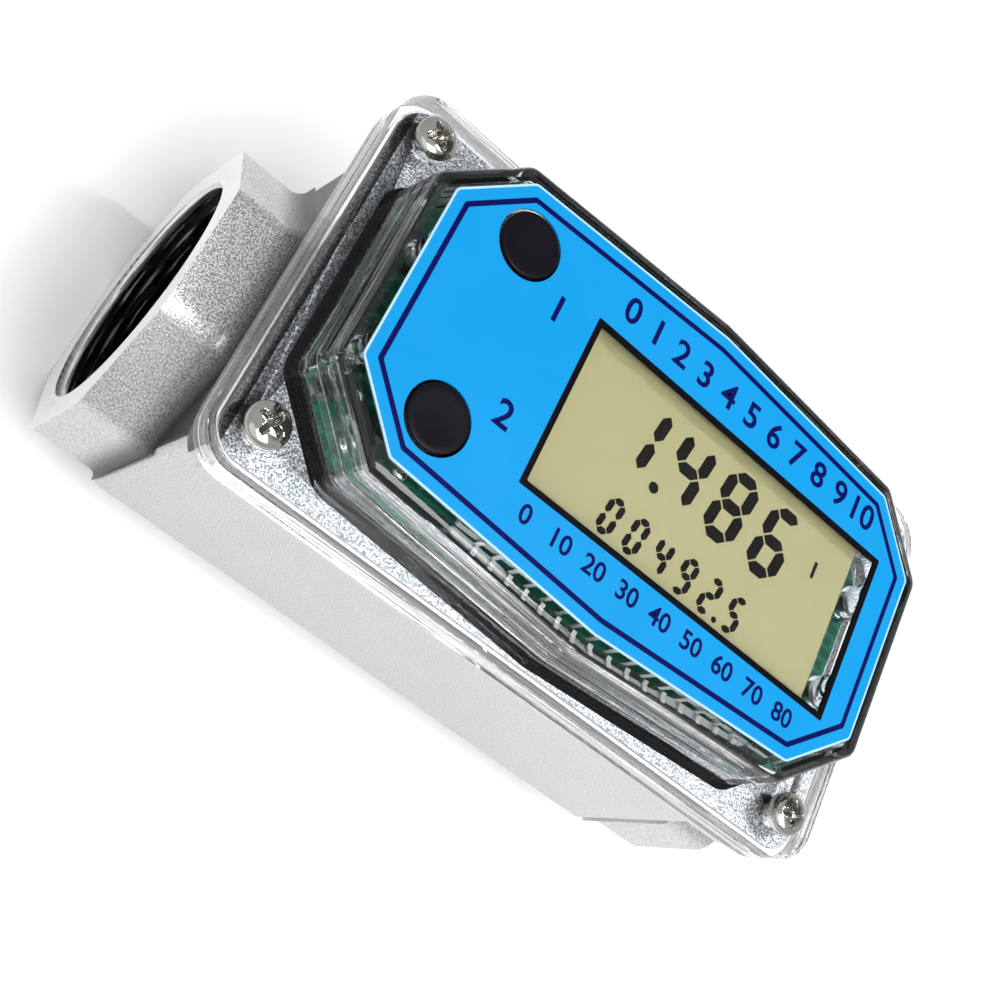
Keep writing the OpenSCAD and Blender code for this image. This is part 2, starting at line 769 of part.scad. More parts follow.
// Internal circlip: an open ring with two eyed lugs beside its mouth
module retaining_ring() {
    out_r = chamber_d / 2 + circlip_reach - fit_gap;
    mid_r = out_r - circlip_band / 2;
    lug_a = asin((circlip_mouth / 2 + lug_r) / mid_r);
    x1 = ring_x + 2 * fit_gap;
    color("slategray") difference() {
        union() {
            difference() {
                axial_rod(out_r, x1, x1 + circlip_t);
                axial_rod(out_r - circlip_band, x1 - overrun, x1 + circlip_t + overrun);
                translate([x1 - overrun, -circlip_mouth / 2, 0])
                    cube([circlip_t + 2 * overrun, circlip_mouth, axis_z]);
            }
            for (s = [-1, 1]) translate([x1, 0, axis_z]) rotate([s * lug_a, 0, 0])
                translate([0, 0, -mid_r + lug_r / 2]) rotate([0, 90, 0]) cylinder(r = lug_r, h = circlip_t);
        }
        for (s = [-1, 1]) translate([x1 - overrun, 0, axis_z]) rotate([s * lug_a, 0, 0])
            translate([0, 0, -mid_r + lug_r / 2]) rotate([0, 90, 0])
                cylinder(r = lug_hole_r, h = circlip_t + 2 * overrun);
    }
}
module retaining_rings() {
    for (s = [0, 180]) rotate([0, 0, s]) retaining_ring();
}

meter_body();
clear_cover();
cover_gasket();
cover_screws();
face_label();
calibrate_button();
display_button();
calibrate_plunger();
display_plunger();
switch_bodies();
lcd_panel();
lcd_pins();
main_board();
processor_chip();
crystal_can();
chip_capacitors();
filter_capacitor();
hall_sensor();
board_screws();
battery_holder();
battery_cells();
battery_springs();
contact_strips();
turbine_rotor();
rotor_magnets();
rotor_bushings();
rotor_shaft();
thrust_washers();
inlet_straightener();
outlet_straightener();
retaining_rings();
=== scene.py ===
# Digital turbine flow meter, dressed for rendering: a sand-cast body with threaded ports, a clear
# moulded head over a board and display, and a bladed rotor between its straighteners.
import math

import bmesh
import bpy
import numpy as np
from mathutils import Matrix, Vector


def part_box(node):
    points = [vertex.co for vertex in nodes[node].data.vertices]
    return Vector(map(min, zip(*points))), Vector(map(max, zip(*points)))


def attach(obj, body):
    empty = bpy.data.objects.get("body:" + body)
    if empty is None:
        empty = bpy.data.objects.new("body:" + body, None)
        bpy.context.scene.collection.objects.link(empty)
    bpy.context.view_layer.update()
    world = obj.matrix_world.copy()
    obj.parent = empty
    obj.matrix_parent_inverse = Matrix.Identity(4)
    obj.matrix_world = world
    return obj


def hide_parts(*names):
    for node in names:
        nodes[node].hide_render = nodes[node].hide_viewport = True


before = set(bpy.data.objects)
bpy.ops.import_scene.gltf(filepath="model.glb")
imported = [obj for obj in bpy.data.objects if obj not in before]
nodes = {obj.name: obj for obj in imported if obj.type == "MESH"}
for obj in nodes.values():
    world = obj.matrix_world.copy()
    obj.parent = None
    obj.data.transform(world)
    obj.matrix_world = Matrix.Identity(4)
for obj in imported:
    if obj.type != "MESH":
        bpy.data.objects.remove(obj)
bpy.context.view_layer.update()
mm = 0.001
print("frame loaded:", len(nodes), "nodes")


# A node's lowest and highest corners in millimetres
def boxOf(node):
    low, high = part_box(node)
    return np.array(low) / mm, np.array(high) / mm


# Places read from the frame
coverLow, coverHigh = boxOf("clear_cover")
lcdLow, lcdHigh = boxOf("lcd_panel")
rotorLow, rotorHigh = boxOf("turbine_rotor")
endX, midY, labelZ = boxOf("face_label")[1]
padTop = boxOf("meter_body")[1][2]
boardTop = boxOf("main_board")[1][2]
axisZ = (rotorLow[2] + rotorHigh[2]) / 2


# Corners of the ten-sided face, anticlockwise from its right end
face = {"endY": 10.65, "cutX": 7.3, "cutY": 6.95, "windowLeft": -15.25, "windowRight": 31.15,
        "windowLow": -11.0, "windowHigh": 10.0}
sideX = endX - face["cutX"]
sideY = face["endY"] + face["cutY"]
faceCorners = np.array([[endX, face["endY"]], [sideX, sideY], [0, midY], [-sideX, sideY],
                        [-endX, face["endY"]], [-endX, -face["endY"]], [-sideX, -sideY], [0, -midY],
                        [sideX, -sideY], [endX, -face["endY"]]])


# Outline of a convex polygon moved outwards by offset, each corner turned into an arc of the given radius:
# the arc's centre is the corner moved by offset - radius along (n1 + n2) / (1 + n1.n2)
def roundedOutline(corners, offset, radius, steps=6):
    before = np.roll(corners, 1, axis=0)
    after = np.roll(corners, -1, axis=0)

    def outward(a, b):
        side = b - a
        return np.stack([side[:, 1], -side[:, 0]], axis=1) / np.linalg.norm(side, axis=1)[:, None]

    n1 = outward(before, corners)
    n2 = outward(corners, after)
    dot = (n1 * n2).sum(axis=1)
    hub = corners + (offset - radius) * (n1 + n2) / (1 + dot)[:, None]
    start = np.arctan2(n1[:, 1], n1[:, 0])
    turn = np.arctan2(n1[:, 0] * n2[:, 1] - n1[:, 1] * n2[:, 0], dot)
    angle = start[:, None] + turn[:, None] * np.linspace(0, 1, steps + 1)[None, :]
    arc = radius * np.stack([np.cos(angle), np.sin(angle)], axis=2)
    return (hub[:, None, :] + arc).reshape(-1, 2)


# Corners of a rectangle, anticlockwise from its low corner
def rectangle(x1, y1, x2, y2):
    return np.array([[x1, y1], [x2, y1], [x2, y2], [x1, y2]], float)


# Quads between neighbouring loops of equal size; a stack that doesn't wrap gets a flat cap at each end
def loopFaces(count, size, wrap=False, start=0):
    rows = np.arange(count if wrap else count - 1)[:, None] * size
    after = np.roll(np.arange(count), -1)[: len(rows)][:, None] * size
    k = np.arange(size)[None, :]
    step = (k + 1) % size
    quads = np.stack([rows + k, rows + step, after + step, after + k], axis=-1).reshape(-1, 4) + start
    faces = quads.tolist()
    if not wrap:
        faces.append(list(range(start + size - 1, start - 1, -1)))
        faces.append(list(range(start + (count - 1) * size, start + count * size)))
    return faces


# One mesh piece from stacks of loops, each stack an array (loops, points, 3) in millimetres
def loopPiece(name, stacks, material, wrap=False, sharp=35):
    points = []
    faces = []
    total = 0
    for stack in stacks:
        stack = np.asarray(stack, float)
        faces += loopFaces(stack.shape[0], stack.shape[1], wrap, total)
        points.append(stack.reshape(-1, 3))
        total += stack.shape[0] * stack.shape[1]
    mesh = bpy.data.meshes.new(name)
    mesh.from_pydata((np.concatenate(points) * mm).tolist(), [], faces)
    mesh.update()
    return placePiece(name, mesh, material, sharp)


# A mesh as a piece at the origin, smooth but for edges that bend by over sharp degrees
def placePiece(name, mesh, material, sharp=35):
    piece = bpy.data.objects.new(name, mesh)
    bpy.context.scene.collection.objects.link(piece)
    mesh.materials.clear()
    for each in material if isinstance(material, list) else [material]:
        mesh.materials.append(each)
    mesh.shade_smooth()
    mesh.set_sharp_from_angle(angle=math.radians(sharp))
    return piece


# Gives each face the material whose number stands in index
def setFaceMaterials(piece, index):
    piece.data.polygons.foreach_set("material_index", index.astype(np.int32))


# Middle points in millimetres and normals of a mesh's faces
def faceFacts(mesh):
    centres = np.array([polygon.center for polygon in mesh.polygons]) / mm
    return centres, np.array([polygon.normal for polygon in mesh.polygons])


# An outline in the plane z = height
def atHeight(flat, height):
    return np.column_stack([flat, np.full(len(flat), height)])


# Loops of an upright shape: one outline for each (offset, height) pair
def outlineStack(corners, levels, radius):
    return np.array([atHeight(roundedOutline(corners, offset, max(radius + offset, 0.01)), height)
                     for offset, height in levels])


# Loops of a turned shape: (radius, height) pairs spun about the line through centre along Z or X
def turnedStack(profile, centre, axis, steps):
    angle = np.linspace(0, 2 * math.pi, steps, endpoint=False)
    profile = np.asarray(profile, float)
    across = profile[:, 0][:, None] * np.cos(angle)[None, :]
    along = profile[:, 0][:, None] * np.sin(angle)[None, :]
    height = np.repeat(profile[:, 1][:, None], steps, axis=1)
    order = [across, along, height] if axis == "z" else [height, across, along]
    return np.stack(order, axis=2) + np.asarray(centre, float)


# A material with its tree and its shader
def newMaterial(name):
    material = bpy.data.materials.new(name)
    material.use_nodes = True
    tree = material.node_tree
    return material, tree, tree.nodes["Principled BSDF"]


# Fills a node's inputs: a socket is linked, anything else becomes the input's own value
def feed(tree, node, inputs):
    for key, value in inputs.items():
        if isinstance(value, bpy.types.NodeSocket):
            tree.links.new(value, node.inputs[key])
        else:
            node.inputs[key].default_value = value
    return node


# Makes a node with its own settings, then fills its inputs
def addNode(tree, kind, inputs=None, **settings):
    node = tree.nodes.new(kind)
    for key, value in settings.items():
        setattr(node, key, value)
    return feed(tree, node, inputs or {})


# The place on the piece itself, in metres
def objectPlace(tree):
    return addNode(tree, "ShaderNodeTexCoord").outputs["Object"]


# X, Y and Z of a vector
def partsOf(tree, vector):
    return addNode(tree, "ShaderNodeSeparateXYZ", {"Vector": vector}).outputs


# One step of arithmetic on sockets and numbers
def compute(tree, operation, *values):
    return addNode(tree, "ShaderNodeMath", dict(enumerate(values)), operation=operation).outputs[0]


# low + (high - low) * range(value), where range runs from 0 to 1 over the span
def mapped(tree, value, limits=(0.0, 1.0), span=(0.0, 1.0), kind="LINEAR"):
    node = addNode(tree, "ShaderNodeMapRange",
                   {"Value": value, "From Min": span[0], "From Max": span[1], "To Min": limits[0],
                    "To Max": limits[1]}, interpolation_type=kind)
    return node.outputs["Result"]


# Noise from 0 to 1 at place * scale
def noise(tree, place, scale, detail, roughness=0.5, distortion=0.0):
    node = addNode(tree, "ShaderNodeTexNoise", {"Vector": place, "Scale": scale, "Detail": detail,
                                                "Roughness": roughness, "Distortion": distortion})
    return node.outputs["Fac"]


# low + (high - low) * value, as a colour
def ramp(tree, value, low, high):
    node = addNode(tree, "ShaderNodeValToRGB", {"Fac": value})
    for element, colour in zip(node.color_ramp.elements, (low, high)):
        element.color = (*colour, 1)
    return node.outputs["Color"]


# A bumped normal, its depth in millimetres
def bump(tree, height, depth, strength=1.0):
    node = addNode(tree, "ShaderNodeBump", {"Height": height, "Distance": depth * mm, "Strength": strength})
    return node.outputs["Normal"]


# |z| of the surface's own normal: 1 on a level face and 0 on an upright one
def levelness(tree):
    facing = addNode(tree, "ShaderNodeNewGeometry").outputs["True Normal"]
    return compute(tree, "ABSOLUTE", partsOf(tree, facing)["Z"])


# A group that takes Place and the given numbers, and puts out the named masks
def newGroup(name, numbers, masks):
    group = bpy.data.node_groups.new(name, "ShaderNodeTree")
    group.interface.new_socket(name="Place", in_out="INPUT", socket_type="NodeSocketVector")
    for key, value in numbers.items():
        socket = group.interface.new_socket(name=key, in_out="INPUT", socket_type="NodeSocketFloat")
        socket.default_value = value
    for key in masks:
        group.interface.new_socket(name=key, in_out="OUTPUT", socket_type="NodeSocketFloat")
    return group, group.nodes.new("NodeGroupInput").outputs, group.nodes.new("NodeGroupOutput")


# Runs a group at place with its own numbers, and gives its masks
def useGroup(tree, group, place, numbers=None):
    return addNode(tree, "ShaderNodeGroup", {"Place": place, **(numbers or {})}, node_tree=group).outputs


# Sand-cast skin: fine grains where a noise passes its middle, sharpened by a narrow range, over slow
# patches. Grain is 0 in the pits and 1 on the crowns; Height is the same field, softer, for a bump.
sand = {"grains": 4600.0, "patches": 110.0, "crisp": (0.40, 0.62), "soft": (0.30, 0.70),
        "patch": (0.35, 0.65)}


def castSkinGroup():
    group, given, result = newGroup("castSkin", {"Grains per metre": sand["grains"]},
                                    ("Grain", "Height", "Patch"))
    fine = noise(group, given["Place"], given["Grains per metre"], detail=1.5, roughness=0.6)
    broad = noise(group, given["Place"], sand["patches"], detail=3.0)
    feed(group, result, {"Grain": mapped(group, fine, span=sand["crisp"]),
                         "Height": mapped(group, fine, span=sand["soft"]),
                         "Patch": mapped(group, broad, span=sand["patch"])})
    return group


# Handling marks: broad smears and fine hairline scratches, drawn out along one line, both 0 to 1
marks = {"smears": 90.0, "scratches": 320.0, "squeeze": (1.0, 0.06, 1.0), "turn": (0.0, 0.0, 0.6),
         "smear": (0.42, 0.68), "scratch": (0.66, 0.72)}


def handlingGroup():
    group, given, result = newGroup("handling", {"Smears per metre": marks["smears"],
                                                 "Scratches per metre": marks["scratches"]},
                                    ("Smear", "Scratch"))
    smear = noise(group, given["Place"], given["Smears per metre"], detail=4.0, roughness=0.55,
                  distortion=0.6)
    line = addNode(group, "ShaderNodeMapping", {"Vector": given["Place"], "Scale": marks["squeeze"],
                                                "Rotation": marks["turn"]}).outputs["Vector"]
    hair = noise(group, line, given["Scratches per metre"], detail=2.0, roughness=0.8, distortion=0.3)
    feed(group, result, {"Smear": mapped(group, smear, span=marks["smear"]),
                         "Scratch": mapped(group, hair, span=marks["scratch"])})
    return group


# Tool marks round the flow axis: a noise along (distance to the axis + x) * rings per metre
lathe = {"rings": 3200.0, "depth": 0.012, "strength": 0.5}


def turningGroup():
    group, given, result = newGroup("turning", {"Rings per metre": lathe["rings"]}, ("Ring",))
    centred = addNode(group, "ShaderNodeMapping", {"Vector": given["Place"],
                                                   "Location": (0.0, 0.0, -axisZ * mm)})
    part = partsOf(group, centred.outputs["Vector"])
    flat = addNode(group, "ShaderNodeCombineXYZ", {"Y": part["Y"], "Z": part["Z"]}).outputs["Vector"]
    length = addNode(group, "ShaderNodeVectorMath", {0: flat}, operation="LENGTH").outputs["Value"]
    count = compute(group, "MULTIPLY", compute(group, "ADD", length, part["X"]), given["Rings per metre"])
    rings = addNode(group, "ShaderNodeTexNoise", {"W": count, "Scale": 1.0, "Detail": 2.0},
                    noise_dimensions="1D")
    feed(group, result, {"Ring": rings.outputs["Fac"]})
    return group


castSkin = castSkinGroup()
handling = handlingGroup()
turning = turningGroup()


# Painted shade at the root of the inlet collar, darkest on the body's end wall: share = range(-x from start
# to end), or 1 on the body itself
rootShade = {"body": 40.9, "span": (41.0, 44.9), "tint": 0.15}


def paintedRootShade(tree, place):
    reach = compute(tree, "MULTIPLY", partsOf(tree, place)["X"], -1.0)
    onBody = compute(tree, "LESS_THAN", reach, rootShade["body"] * mm)
    span = [each * mm for each in rootShade["span"]]
    return compute(tree, "MAXIMUM", onBody, mapped(tree, reach, span=span, kind="SMOOTHSTEP"))


# Painted shade darkening the casting inside the head's gasket. It is 1 inside the label's outline moved out,
# where
# |x| < endX, |x| slope + |y| < midY and |x| n1 + |y| n2 < the same at the label's corner, above the floor.
headShade = {"out": 2.6, "floor": 42.7, "tint": 0.10}


def paintedHeadShade(tree, place):
    cut = math.hypot(face["cutX"], face["cutY"])
    n1, n2 = face["cutY"] / cut, face["cutX"] / cut
    slope = (midY - sideY) / sideX
    flat = addNode(tree, "ShaderNodeVectorMath", {0: place}, operation="ABSOLUTE").outputs[0]
    part = partsOf(tree, flat)
    share = compute(tree, "GREATER_THAN", part["Z"], headShade["floor"] * mm)
    reach = endX * n1 + face["endY"] * n2
    for overX, overY, limit in ((1.0, 0.0, endX), (slope, 1.0, midY), (n1, n2, reach)):
        total = compute(tree, "MULTIPLY_ADD", part["Y"], overY, compute(tree, "MULTIPLY", part["X"], overX))
        inside = compute(tree, "LESS_THAN", total, (limit + headShade["out"]) * mm)
        share = compute(tree, "MULTIPLY", share, inside)
    return share


# Sand-cast, shot-blasted aluminium: colour = plain + (grains - plain) * amount, times painted shade at the
# collar root and under the head. Speckle on level faces and plain colour on upright ones is painted lighting:
# amount = range(levelness)
casting = {"plain": (0.50, 0.495, 0.51), "pit": (0.30, 0.295, 0.31), "crown": (1.0, 0.995, 1.0),
           "rough": (0.34, 0.40), "depth": 0.018, "metallic": 0.85, "amount": (0.30, 1.0),
           "span": (0.45, 1.0)}


def castMetal():
    material, tree, shader = newMaterial("castMetal")
    place = objectPlace(tree)
    skin = useGroup(tree, castSkin, place)
    # Painted lighting: level faces speckled and lighter, upright faces plain
    amount = mapped(tree, levelness(tree), casting["amount"], casting["span"])
    grains = ramp(tree, skin["Grain"], casting["pit"], casting["crown"])
    colour = addNode(tree, "ShaderNodeMix", {0: amount, 6: (*casting["plain"], 1), 7: grains},
                     data_type="RGBA").outputs[2]
    # Painted shade at the inlet collar's root and under the head darkens the colour
    dim = compute(tree, "MULTIPLY", mapped(tree, paintedRootShade(tree, place), (rootShade["tint"], 1.0)),
                  mapped(tree, paintedHeadShade(tree, place), (1.0, headShade["tint"])))
    tint = addNode(tree, "ShaderNodeVectorMath", {0: colour, "Scale": dim}, operation="SCALE")
    feed(tree, shader, {"Metallic": casting["metallic"], "Base Color": tint.outputs[0],
                        "Roughness": mapped(tree, skin["Patch"], casting["rough"]),
                        "Normal": bump(tree, skin["Height"], casting["depth"])})
    return material


# Machined aluminium: fine rings round the flow axis between two tones
def turnedMetal(name, low, high, rough, metallic=1.0):
    material, tree, shader = newMaterial(name)
    place = objectPlace(tree)
    ring = useGroup(tree, turning, place)["Ring"]
    smear = useGroup(tree, handling, place)["Smear"]
    feed(tree, shader, {"Metallic": metallic, "Base Color": ramp(tree, ring, low, high),
                        "Roughness": mapped(tree, smear, rough),
                        "Normal": bump(tree, ring, lathe["depth"], lathe["strength"])})
    return material


# Clear moulded plastic: height = ripple + flow * upright, where flow lines are level and upright falls
# from lines to 0 as levelness rises. Shadow rays pass, so light reaches the board.
plastic = {"tint": (0.95, 0.97, 0.98, 1), "shade": (0.93, 0.95, 0.96, 1), "ior": 1.47, "ripples": 130.0,
           "flows": 420.0, "squeeze": (0.03, 0.03, 1.2), "lines": 19.0, "level": 0.96, "scratches": 260.0,
           "rough": (0.0, 0.05), "depth": 0.05, "strength": 0.5}


def clearPlastic():
    material, tree, shader = newMaterial("clearPlastic")
    place = objectPlace(tree)
    scratch = useGroup(tree, handling, place, {"Scratches per metre": plastic["scratches"]})["Scratch"]
    ripple = noise(tree, place, plastic["ripples"], detail=2.0, distortion=0.8)
    level = addNode(tree, "ShaderNodeMapping", {"Vector": place, "Scale": plastic["squeeze"]})
    flow = noise(tree, level.outputs["Vector"], plastic["flows"], detail=1.5, distortion=0.4)
    upright = mapped(tree, levelness(tree), (plastic["lines"], 0.0), (0.0, plastic["level"]))
    height = compute(tree, "ADD", ripple, compute(tree, "MULTIPLY", flow, upright))
    feed(tree, shader, {"Base Color": plastic["tint"], "Metallic": 0.0, "IOR": plastic["ior"],
                        "Transmission Weight": 1.0, "Roughness": mapped(tree, scratch, plastic["rough"]),
                        "Normal": bump(tree, height, plastic["depth"], plastic["strength"])})
    clear = addNode(tree, "ShaderNodeBsdfTransparent", {"Color": plastic["shade"]})
    path = addNode(tree, "ShaderNodeLightPath")
    mix = addNode(tree, "ShaderNodeMixShader", {0: path.outputs["Is Shadow Ray"], 1: shader.outputs[0],
                                                2: clear.outputs[0]})
    feed(tree, tree.nodes["Material Output"], {"Surface": mix.outputs[0]})
    return material


# A moulded or printed finish: two close colours mottled by noise, roughness between two values, fine bump
def mottled(name, low, high, rough, metallic=0.0, perMetre=900.0, depth=0.01, specular=0.5):
    material, tree, shader = newMaterial(name)
    place = objectPlace(tree)
    fine = noise(tree, place, perMetre, detail=4.0, roughness=0.6)
    smear = useGroup(tree, handling, place)["Smear"]
    feed(tree, shader, {"Metallic": metallic, "Specular IOR Level": specular,
                        "Base Color": ramp(tree, fine, low, high), "Roughness": mapped(tree, smear, rough),
                        "Normal": bump(tree, fine, depth)})
    return material


# Green solder mask with copper runs just under it: rows and columns of lines broken by cells
tracks = {"mask": (0.003, 0.070, 0.040, 1), "paler": (0.004, 0.085, 0.048, 1),
          "line": (0.012, 0.150, 0.085, 1), "lineWidth": 0.28, "cellWidth": 5.2, "cellHeight": 1.65,
          "rough": (0.22, 0.42), "depth": 0.03, "mottles": 700.0, "coat": 0.4, "coatRough": 0.12}


def boardMask():
    material, tree, shader = newMaterial("boardMask")
    place = objectPlace(tree)
    runs = addNode(tree, "ShaderNodeTexBrick", {
        "Vector": place, "Color1": tracks["mask"], "Color2": tracks["paler"], "Mortar": tracks["line"],
        "Scale": 1.0, "Mortar Size": tracks["lineWidth"] * mm, "Mortar Smooth": 0.2,
        "Brick Width": tracks["cellWidth"] * mm, "Row Height": tracks["cellHeight"] * mm}).outputs
    rough = mapped(tree, noise(tree, place, tracks["mottles"], detail=3.0), tracks["rough"])
    feed(tree, shader, {"Metallic": 0.0, "Coat Weight": tracks["coat"], "Coat Roughness": tracks["coatRough"],
                        "Roughness": rough, "Base Color": runs["Color"],
                        "Normal": bump(tree, runs["Fac"], tracks["depth"])})
    return material


cast = castMetal()
turned = turnedMetal("turnedMetal", (0.80, 0.79, 0.80), (0.96, 0.95, 0.95), (0.24, 0.36), metallic=0.55)
# Threads and bores: aluminium coloured near-black, a painted shade for the dark inside of the ports
boreShadeMetal = turnedMetal("boreShadeMetal", (0.055, 0.055, 0.065), (0.16, 0.155, 0.165), (0.22, 0.38))
clear = clearPlastic()
board = boardMask()
blueInk = mottled("blueInk", (0.004, 0.262, 0.60), (0.008, 0.290, 0.68), (0.30, 0.40), perMetre=90,
                  specular=0.12)
navyInk = mottled("navyInk", (0.002, 0.003, 0.07), (0.004, 0.005, 0.10), (0.34, 0.46), specular=0.06)
blackInk = mottled("blackInk", (0.002, 0.002, 0.004), (0.005, 0.005, 0.008), (0.34, 0.48), specular=0.05)
blackRubber = mottled("blackRubber", (0.002, 0.002, 0.0022), (0.005, 0.005, 0.0055), (0.50, 0.68),
                      perMetre=2200, depth=0.02, specular=0.15)
buttonRubber = mottled("buttonRubber", (0.003, 0.0025, 0.005), (0.007, 0.006, 0.010), (0.26, 0.40),
                       perMetre=1800, specular=0.12)
blackPlastic = mottled("blackPlastic", (0.012, 0.012, 0.013), (0.026, 0.026, 0.028), (0.30, 0.48),
                       perMetre=1600)
greyPlastic = mottled("greyPlastic", (0.035, 0.036, 0.040), (0.060, 0.061, 0.066), (0.34, 0.52),
                      perMetre=1300)
rotorPlastic = mottled("rotorPlastic", (0.72, 0.72, 0.68), (0.82, 0.82, 0.78), (0.32, 0.46), perMetre=1100)
washerPlastic = mottled("washerPlastic", (0.74, 0.70, 0.58), (0.84, 0.80, 0.68), (0.35, 0.50))
nickel = mottled("nickel", (0.40, 0.39, 0.36), (0.70, 0.68, 0.64), (0.10, 0.22), metallic=1.0, perMetre=420,
                 depth=0.015)
brightSteel = mottled("brightSteel", (0.50, 0.50, 0.51), (0.68, 0.68, 0.69), (0.18, 0.32), metallic=1.0)
tin = mottled("tin", (0.62, 0.62, 0.60), (0.80, 0.80, 0.78), (0.22, 0.40), metallic=1.0, perMetre=1500)
bronze = mottled("bronze", (0.48, 0.32, 0.14), (0.62, 0.44, 0.22), (0.34, 0.50), metallic=1.0, perMetre=2600,
                 depth=0.03)
magnetPlate = mottled("magnetPlate", (0.22, 0.22, 0.23), (0.34, 0.34, 0.35), (0.28, 0.42), metallic=0.9)
ceramic = mottled("ceramic", (0.36, 0.25, 0.14), (0.48, 0.36, 0.22), (0.30, 0.45), perMetre=2400)
cellJacket = mottled("cellJacket", (0.16, 0.17, 0.19), (0.22, 0.23, 0.25), (0.25, 0.40), perMetre=500)
lcdFilm = mottled("lcdFilm", (0.238, 0.215, 0.107), (0.251, 0.227, 0.115), (0.42, 0.50), perMetre=3000,
                  depth=0.004, specular=0.2)
lcdGlass = mottled("lcdGlass", (0.012, 0.020, 0.020), (0.020, 0.030, 0.028), (0.06, 0.14), perMetre=200)
# Pale blue ring colour for the label's edge, a painted highlight
paintedEdgeGlint = mottled("paintedEdgeGlint", (0.36, 0.62, 0.84), (0.50, 0.74, 0.92), (0.15, 0.28), perMetre=700)
lcdBack = mottled("lcdBack", (0.30, 0.32, 0.31), (0.44, 0.46, 0.45), (0.35, 0.50), perMetre=800)
segmentInk = mottled("segmentInk", (0.004, 0.004, 0.004), (0.008, 0.007, 0.006), (0.40, 0.50), specular=0.02)
print("materials made:", len(bpy.data.materials))


# A copy of a node with its loose triangles merged and flat faces joined, ready for rounded edges
merging = {"distance": 0.002, "flatAngle": 0.4}


def copyNode(node, name, material, sharp=30, flatten=True):
    mesh = nodes[node].data.copy()
    mesh.name = name
    shape = bmesh.new()
    shape.from_mesh(mesh)
    bmesh.ops.remove_doubles(shape, verts=shape.verts, dist=merging["distance"] * mm)
    if flatten:
        bmesh.ops.dissolve_limit(shape, angle_limit=math.radians(merging["flatAngle"]), verts=shape.verts,
                                 edges=shape.edges)
    shape.to_mesh(mesh)
    shape.free()
    piece = placePiece(name, mesh, material, sharp)
    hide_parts(node)
    return piece


# A node's copy with its material and body, its edges rounded where edge is over 0
def dress(node, name, material, body="meter", edge=0.0, sharp=30):
    piece = copyNode(node, name, material, sharp, flatten=edge > 0)
    if edge > 0:
        roundEdges(piece, edge, segments=2, angle=35)
    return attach(piece, body)


# Rounds edges over an angle in degrees or, without one, by their written weights
def roundEdges(piece, width, segments, angle=None):
    bevel = piece.modifiers.new("roundEdges", "BEVEL")
    bevel.width = width * mm
    bevel.segments = segments
    bevel.harden_normals = True
    bevel.use_clamp_overlap = True
    if angle is None:
        bevel.limit_method = "WEIGHT"
    else:
        bevel.limit_method = "ANGLE"
        bevel.angle_limit = math.radians(angle)


# Makes each edge between a level face and a sloping one sharp, so that a large level face stays truly flat
def creaseLevels(piece, level=0.9995, sloping=0.998):
    mesh = piece.data
    shape = bmesh.new()
    shape.from_mesh(mesh)
    for edge in shape.edges:
        rises = [abs(side.normal.z) for side in edge.link_faces]
        if rises and max(rises) > level and min(rises) < sloping:
            edge.smooth = False
    shape.to_mesh(mesh)
    shape.free()


# Writes a bevel weight on each edge that bends by over minAngle: weigh(middle, direction) gives 0 to 1
# from the edge's middle point in millimetres and its unit direction
def weighEdges(piece, weigh, minAngle=20):
    mesh = piece.data
    shape = bmesh.new()
    shape.from_mesh(mesh)
    layer = shape.edges.layers.float.new("bevel_weight_edge")
    for edge in shape.edges:
        if len(edge.link_faces) == 2 and edge.calc_face_angle(0) > math.radians(minAngle):
            a, b = (np.array(v.co) / mm for v in edge.verts)
            length = np.linalg.norm(b - a)
            if length > 1e-6:
                edge[layer] = weigh((a + b) / 2, (b - a) / length)
    shape.to_mesh(mesh)
    shape.free()


# The casting: port walls are moved out behind the thread sleeves, outside edges get a small round, and the
# mouths, bores and sealing step are machined. radius = distance from the flow axis
body = {"portRadius": 15.145, "hiddenRadius": 16.85, "portInner": 34.0, "portOuter": 49.6, "mouth": 50.0,
        "bodyEnd": 41.0, "edgeRound": 0.5, "boreZone": 17.0, "pocketDeep": 14.0, "padX": 41.9, "padY": 22.9,
        "near": 0.05, "facing": 0.9, "mouthNear": 0.2, "endNear": 1.2}


def castBody():
    piece = copyNode("meter_body", "castBody", [cast, turned, boreShadeMetal])
    mesh = piece.data
    points = np.empty(len(mesh.vertices) * 3)
    mesh.vertices.foreach_get("co", points)
    points = points.reshape(-1, 3) / mm
    radius = np.hypot(points[:, 1], points[:, 2] - axisZ)
    reach = np.abs(points[:, 0])
    wall = ((np.abs(radius - body["portRadius"]) < body["near"]) & (reach > body["portInner"] - body["near"])
            & (reach < body["portOuter"] + body["near"]))
    grow = np.where(wall, body["hiddenRadius"] / np.maximum(radius, 1), 1.0)
    points[:, 1] *= grow
    points[:, 2] = axisZ + (points[:, 2] - axisZ) * grow
    mesh.vertices.foreach_set("co", (points * mm).ravel())
    mesh.update()
    centres, normals = faceFacts(mesh)
    depth = np.hypot(centres[:, 1], centres[:, 2] - axisZ)
    reach = np.abs(centres[:, 0])
    mouth = body["mouth"] - body["mouthNear"]
    facing = np.abs(normals[:, 0]) > body["facing"]
    mouths = facing & (reach > mouth)
    endWalls = facing & (np.abs(reach - body["bodyEnd"]) < body["endNear"])
    bores = (depth < body["boreZone"]) & (reach < body["mouth"]) & ~mouths & ~endWalls
    # The bores take the near-black metal, a painted shade
    setFaceMaterials(piece, mouths * 1 + bores * 2)

    def weigh(middle, direction):
        x, y, z = middle
        inBore = math.hypot(y, z - axisZ) < body["boreZone"] and abs(x) < mouth
        inPad = z > padTop - body["pocketDeep"] and abs(x) < body["padX"] and abs(y) < body["padY"]
        return 0.0 if inBore or inPad else 1.0

    weighEdges(piece, weigh)
    roundEdges(piece, body["edgeRound"], segments=3)
    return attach(piece, "meter")


